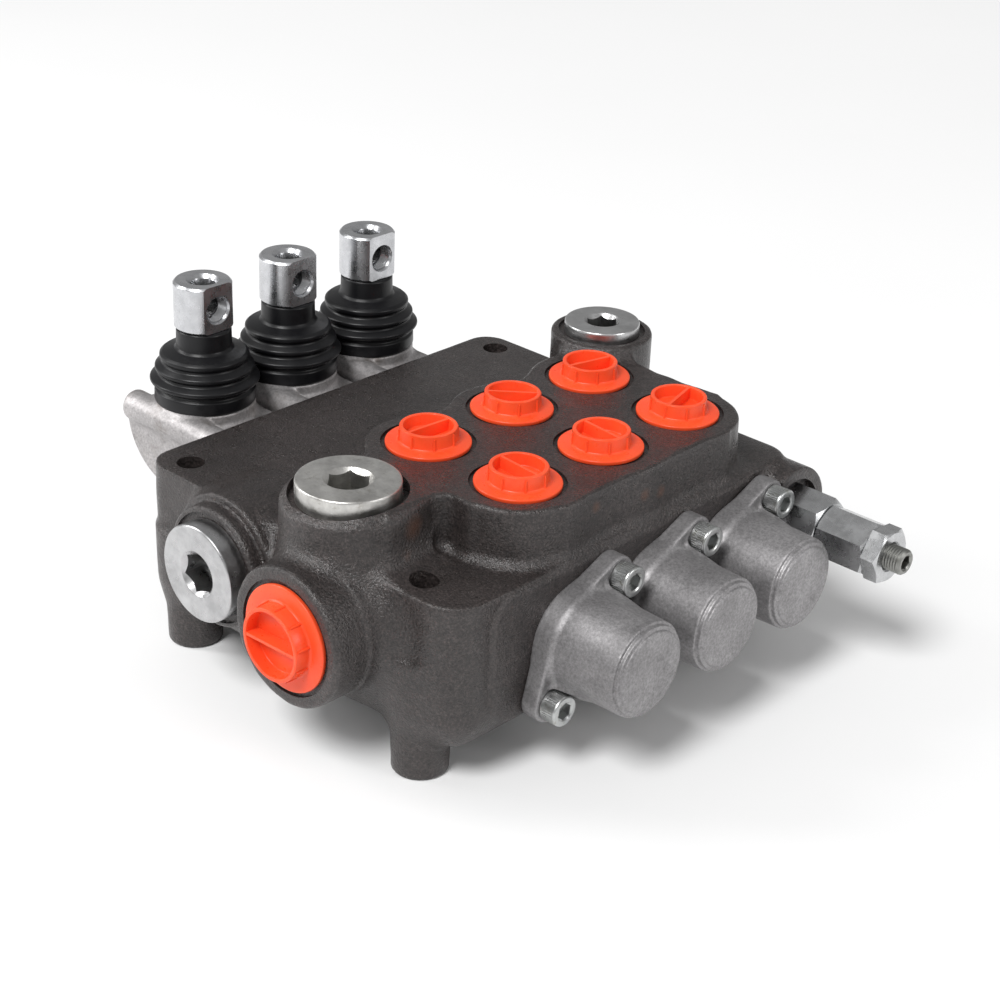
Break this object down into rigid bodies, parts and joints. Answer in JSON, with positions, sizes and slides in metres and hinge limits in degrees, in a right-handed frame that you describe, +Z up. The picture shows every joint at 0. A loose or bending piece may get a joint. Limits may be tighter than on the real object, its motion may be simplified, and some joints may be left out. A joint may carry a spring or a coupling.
{
  "type": "hydraulic monoblock control valve",
  "caption": "Cast-iron monoblock hydraulic directional valve with lever-operated spools, bolted spring caps, capped work ports on a raised face and a side relief valve.",
  "frame": {"origin": "centre of the rectangle of mounting holes, on the plane of the feet", "axes": "+X from the levers toward the spring caps along the spools, +Y along the row of spools from the inlet to the tank port, +Z up toward the port face"},
  "size_m": [0.244, 0.198, 0.1045],
  "materials": {
    "cast_iron": "dark sand-cast iron, oiled grey-brown",
    "spool_steel": "ground steel",
    "spring_steel": "wound spring wire",
    "plated_steel": "bright zinc plating",
    "adjuster_steel": "oiled steel thread",
    "plug_steel": "turned steel",
    "cap_casting": "satin die-cast",
    "housing_casting": "raw die-cast",
    "boot_rubber": "moulded black rubber",
    "seal_rubber": "moulded black rubber",
    "port_plastic": "moulded orange-red"
  },
  "bodies": {
    "valve": {"valve_body": "cast_iron", "spring_seats": "plated_steel", "spool_seals": "seal_rubber", "spring_cap_1": "cap_casting", "spring_cap_2": "cap_casting", "spring_cap_3": "cap_casting", "cap_screws": "plated_steel", "lever_housing_1": "housing_casting", "lever_housing_2": "housing_casting", "lever_housing_3": "housing_casting", "housing_screws": "plated_steel", "ball_retainers": "spool_steel", "inner_spring_1": "spring_steel", "inner_spring_2": "spring_steel", "inner_spring_3": "spring_steel", "outer_spring_1": "spring_steel", "outer_spring_2": "spring_steel", "outer_spring_3": "spring_steel", "lever_boot_1": "boot_rubber", "lever_boot_2": "boot_rubber", "lever_boot_3": "boot_rubber", "work_port_caps": "port_plastic", "inlet_port_cap": "port_plastic", "inlet_top_plug": "plug_steel", "inlet_side_plug": "plug_steel", "tank_plug": "plug_steel", "check_spring": "spring_steel", "relief_body": "plated_steel", "relief_cap": "plated_steel", "relief_locknut": "plated_steel", "relief_spring": "spring_steel"},
    "spool_slider_1": {"spool_1": "spool_steel", "spool_collar_1": "spool_steel"},
    "lever_1": {"lever_stem_1": "spool_steel", "lever_block_1": "plated_steel"},
    "spool_slider_2": {"spool_2": "spool_steel", "spool_collar_2": "spool_steel"},
    "lever_2": {"lever_stem_2": "spool_steel", "lever_block_2": "plated_steel"},
    "spool_slider_3": {"spool_3": "spool_steel", "spool_collar_3": "spool_steel"},
    "lever_3": {"lever_stem_3": "spool_steel", "lever_block_3": "plated_steel"},
    "check_poppet": {"check_poppet": "spool_steel"},
    "relief_poppet": {"relief_poppet": "spool_steel"},
    "relief_setting": {"relief_spring_seat": "spool_steel"},
    "relief_adjuster": {"relief_screw": "adjuster_steel"}
  },
  "joints": [
    {"name": "spool_1_slide", "type": "slide", "parent": "valve", "child": "spool_slider_1", "axis": [1, 0, 0], "range_m": [-0.0048, 0.0048], "stiffness_N_per_m": 6000, "deforming": ["inner_spring_1", "outer_spring_1"]},
    {"name": "lever_1_tilt", "type": "hinge", "parent": "valve", "child": "lever_1", "pos_m": [-0.094, -0.031, 0.0575], "axis": [0, 1, 0], "range_deg": [-16.3, 16.3], "deforming": ["lever_boot_1"]},
    {"name": "spool_2_slide", "type": "slide", "parent": "valve", "child": "spool_slider_2", "axis": [1, 0, 0], "range_m": [-0.0048, 0.0048], "stiffness_N_per_m": 6000, "deforming": ["inner_spring_2", "outer_spring_2"]},
    {"name": "lever_2_tilt", "type": "hinge", "parent": "valve", "child": "lever_2", "pos_m": [-0.094, 0.007, 0.0575], "axis": [0, 1, 0], "range_deg": [-16.3, 16.3], "deforming": ["lever_boot_2"]},
    {"name": "spool_3_slide", "type": "slide", "parent": "valve", "child": "spool_slider_3", "axis": [1, 0, 0], "range_m": [-0.0048, 0.0048], "stiffness_N_per_m": 6000, "deforming": ["inner_spring_3", "outer_spring_3"]},
    {"name": "lever_3_tilt", "type": "hinge", "parent": "valve", "child": "lever_3", "pos_m": [-0.094, 0.045, 0.0575], "axis": [0, 1, 0], "range_deg": [-16.3, 16.3], "deforming": ["lever_boot_3"]},
    {"name": "check_poppet_lift", "type": "slide", "parent": "valve", "child": "check_poppet", "axis": [0, -1, 0], "range_m": [0, 0.004], "stiffness_N_per_m": 300, "springref_m": -0.002, "deforming": ["check_spring"]},
    {"name": "relief_poppet_lift", "type": "slide", "parent": "valve", "child": "relief_poppet", "axis": [1, 0, 0], "range_m": [0, 0.002], "stiffness_N_per_m": 500, "springref_m": -0.002, "deforming": ["relief_spring"]},
    {"name": "relief_setting_slide", "type": "slide", "parent": "valve", "child": "relief_setting", "axis": [1, 0, 0], "range_m": [-0.001, 0.001], "deforming": ["relief_spring"]},
    {"name": "relief_screw_turn", "type": "hinge", "parent": "relief_setting", "child": "relief_adjuster", "pos_m": [0.11, 0.0735, 0.0458], "axis": [1, 0, 0], "range_deg": [-360, 360]}
  ],
  "couplings": [
    {"joint": "lever_1_tilt", "follows": "spool_1_slide", "rad_per_m": -58.824},
    {"joint": "lever_2_tilt", "follows": "spool_2_slide", "rad_per_m": -58.824},
    {"joint": "lever_3_tilt", "follows": "spool_3_slide", "rad_per_m": -58.824},
    {"joint": "relief_screw_turn", "follows": "relief_setting_slide", "rad_per_m": 6283.2}
  ]
}
